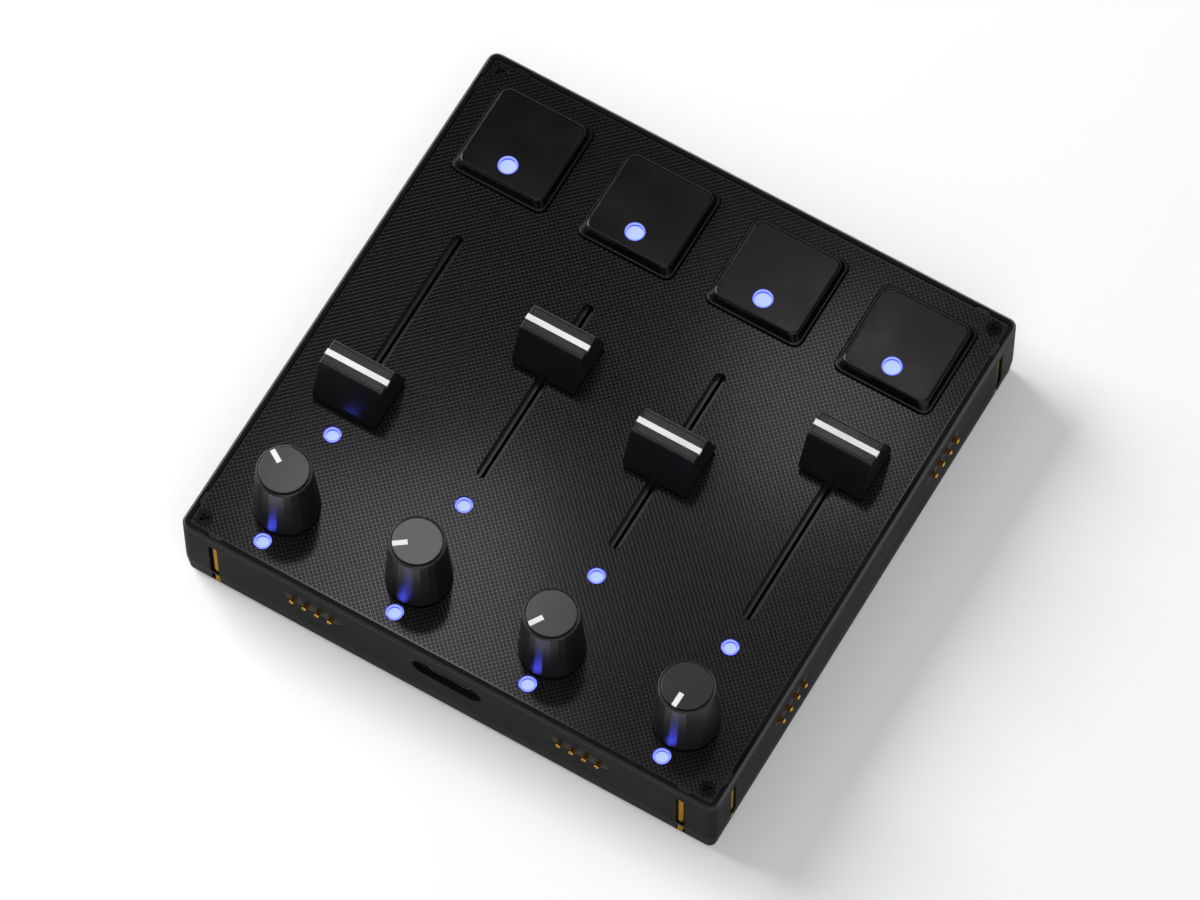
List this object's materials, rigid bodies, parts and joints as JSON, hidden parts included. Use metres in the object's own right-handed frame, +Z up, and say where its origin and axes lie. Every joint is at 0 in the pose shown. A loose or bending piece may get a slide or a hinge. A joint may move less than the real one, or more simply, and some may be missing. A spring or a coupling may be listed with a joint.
{
  "type": "midi controller",
  "caption": "Square desktop control surface with lit push keys, slide faders and pointer knobs, spring contacts and magnets in its sides for docking, and a USB-C socket.",
  "frame": {"origin": "middle of the footprint, on the surface that the feet stand on", "axes": "+Z up, -Y towards the USB-C socket and the knob row, +Y towards the keys, +X to the right seen from the socket side"},
  "size_m": [0.1084, 0.1084, 0.0333],
  "materials": {
    "case_black": "smooth satin black moulding",
    "panel_black": "black lacquered laminate with a fine diagonal mesh",
    "screw_black": "black oxide",
    "foot_rubber": "matt black",
    "board_green": "lacquered laminate",
    "chip_white": "light-emitting chip",
    "socket_steel": "black plated",
    "socket_black": "moulded",
    "magnet_gold": "gold plated",
    "contact_gold": "gold plated",
    "block_black": "moulded",
    "light_blue": "translucent, lit pale blue",
    "switch_black": "moulded",
    "stem_grey": "moulded",
    "frame_steel": "black plated sheet",
    "slider_grey": "moulded",
    "shaft_steel": "turned",
    "key_black": "fine matt black moulding",
    "fader_black": "satin black moulding",
    "knob_black": "semi-gloss black moulding",
    "mark_white": "white insert"
  },
  "bodies": {
    "case": {"bottom_cover": "case_black", "case_frame": "case_black", "top_panel": "panel_black", "case_screws": "screw_black", "rubber_feet": "foot_rubber", "main_board": "board_green", "led_chips": "chip_white", "usb_shell": "socket_steel", "usb_tongue": "socket_black", "dock_magnets": "magnet_gold", "contact_blocks": "block_black", "fader_lights": "light_blue", "knob_lights": "light_blue", "switch_housings": "switch_black", "fader_frames": "frame_steel", "pot_bodies": "frame_steel"},
    "contacts_1": {"contact_pins_1": "contact_gold"},
    "contacts_2": {"contact_pins_2": "contact_gold"},
    "contacts_3": {"contact_pins_3": "contact_gold"},
    "contacts_4": {"contact_pins_4": "contact_gold"},
    "contacts_5": {"contact_pins_5": "contact_gold"},
    "contacts_6": {"contact_pins_6": "contact_gold"},
    "contacts_7": {"contact_pins_7": "contact_gold"},
    "contacts_8": {"contact_pins_8": "contact_gold"},
    "key_1": {"keycap_1": "key_black", "key_lens_1": "light_blue", "switch_stem_1": "stem_grey"},
    "key_2": {"keycap_2": "key_black", "key_lens_2": "light_blue", "switch_stem_2": "stem_grey"},
    "key_3": {"keycap_3": "key_black", "key_lens_3": "light_blue", "switch_stem_3": "stem_grey"},
    "key_4": {"keycap_4": "key_black", "key_lens_4": "light_blue", "switch_stem_4": "stem_grey"},
    "fader_1": {"fader_cap_1": "fader_black", "fader_line_1": "mark_white", "fader_slider_1": "slider_grey"},
    "fader_2": {"fader_cap_2": "fader_black", "fader_line_2": "mark_white", "fader_slider_2": "slider_grey"},
    "fader_3": {"fader_cap_3": "fader_black", "fader_line_3": "mark_white", "fader_slider_3": "slider_grey"},
    "fader_4": {"fader_cap_4": "fader_black", "fader_line_4": "mark_white", "fader_slider_4": "slider_grey"},
    "knob_1_set": {"knob_1": "knob_black", "knob_pointer_1": "mark_white", "pot_shaft_1": "shaft_steel"},
    "knob_2_set": {"knob_2": "knob_black", "knob_pointer_2": "mark_white", "pot_shaft_2": "shaft_steel"},
    "knob_3_set": {"knob_3": "knob_black", "knob_pointer_3": "mark_white", "pot_shaft_3": "shaft_steel"},
    "knob_4_set": {"knob_4": "knob_black", "knob_pointer_4": "mark_white", "pot_shaft_4": "shaft_steel"}
  },
  "joints": [
    {"name": "contacts_1_press", "type": "slide", "parent": "case", "child": "contacts_1", "axis": [0, 1, 0], "range_m": [0, 0.0008], "stiffness_N_per_m": 1500, "springref_m": -0.0008},
    {"name": "contacts_2_press", "type": "slide", "parent": "case", "child": "contacts_2", "axis": [0, 1, 0], "range_m": [0, 0.0008], "stiffness_N_per_m": 1500, "springref_m": -0.0008},
    {"name": "contacts_3_press", "type": "slide", "parent": "case", "child": "contacts_3", "axis": [-1, 0, 0], "range_m": [0, 0.0008], "stiffness_N_per_m": 1500, "springref_m": -0.0008},
    {"name": "contacts_4_press", "type": "slide", "parent": "case", "child": "contacts_4", "axis": [-1, 0, 0], "range_m": [0, 0.0008], "stiffness_N_per_m": 1500, "springref_m": -0.0008},
    {"name": "contacts_5_press", "type": "slide", "parent": "case", "child": "contacts_5", "axis": [0, -1, 0], "range_m": [0, 0.0008], "stiffness_N_per_m": 1500, "springref_m": -0.0008},
    {"name": "contacts_6_press", "type": "slide", "parent": "case", "child": "contacts_6", "axis": [0, -1, 0], "range_m": [0, 0.0008], "stiffness_N_per_m": 1500, "springref_m": -0.0008},
    {"name": "contacts_7_press", "type": "slide", "parent": "case", "child": "contacts_7", "axis": [1, 0, 0], "range_m": [0, 0.0008], "stiffness_N_per_m": 1500, "springref_m": -0.0008},
    {"name": "contacts_8_press", "type": "slide", "parent": "case", "child": "contacts_8", "axis": [1, 0, 0], "range_m": [0, 0.0008], "stiffness_N_per_m": 1500, "springref_m": -0.0008},
    {"name": "key_1_press", "type": "slide", "parent": "case", "child": "key_1", "axis": [0, 0, -1], "range_m": [0, 0.002], "stiffness_N_per_m": 150, "springref_m": -0.002},
    {"name": "key_2_press", "type": "slide", "parent": "case", "child": "key_2", "axis": [0, 0, -1], "range_m": [0, 0.002], "stiffness_N_per_m": 150, "springref_m": -0.002},
    {"name": "key_3_press", "type": "slide", "parent": "case", "child": "key_3", "axis": [0, 0, -1], "range_m": [0, 0.002], "stiffness_N_per_m": 150, "springref_m": -0.002},
    {"name": "key_4_press", "type": "slide", "parent": "case", "child": "key_4", "axis": [0, 0, -1], "range_m": [0, 0.002], "stiffness_N_per_m": 150, "springref_m": -0.002},
    {"name": "fader_1_slide", "type": "slide", "parent": "case", "child": "fader_1", "axis": [0, 1, 0], "range_m": [0, 0.031]},
    {"name": "fader_2_slide", "type": "slide", "parent": "case", "child": "fader_2", "axis": [0, 1, 0], "range_m": [-0.02319, 0.00781]},
    {"name": "fader_3_slide", "type": "slide", "parent": "case", "child": "fader_3", "axis": [0, 1, 0], "range_m": [-0.0159, 0.0151]},
    {"name": "fader_4_slide", "type": "slide", "parent": "case", "child": "fader_4", "axis": [0, 1, 0], "range_m": [-0.03081, 0.00019]},
    {"name": "knob_1_turn", "type": "hinge", "parent": "case", "child": "knob_1_set", "pos_m": [-0.039, -0.04075, 0.01845], "axis": [0, 0, 1], "range_deg": [-29, 271]},
    {"name": "knob_2_turn", "type": "hinge", "parent": "case", "child": "knob_2_set", "pos_m": [-0.0125, -0.04075, 0.01845], "axis": [0, 0, 1], "range_deg": [-96, 204]},
    {"name": "knob_3_turn", "type": "hinge", "parent": "case", "child": "knob_3_set", "pos_m": [0.014, -0.04075, 0.01845], "axis": [0, 0, 1], "range_deg": [-118, 182]},
    {"name": "knob_4_turn", "type": "hinge", "parent": "case", "child": "knob_4_set", "pos_m": [0.0405, -0.04075, 0.01845], "axis": [0, 0, 1], "range_deg": [-149, 151]}
  ]
}
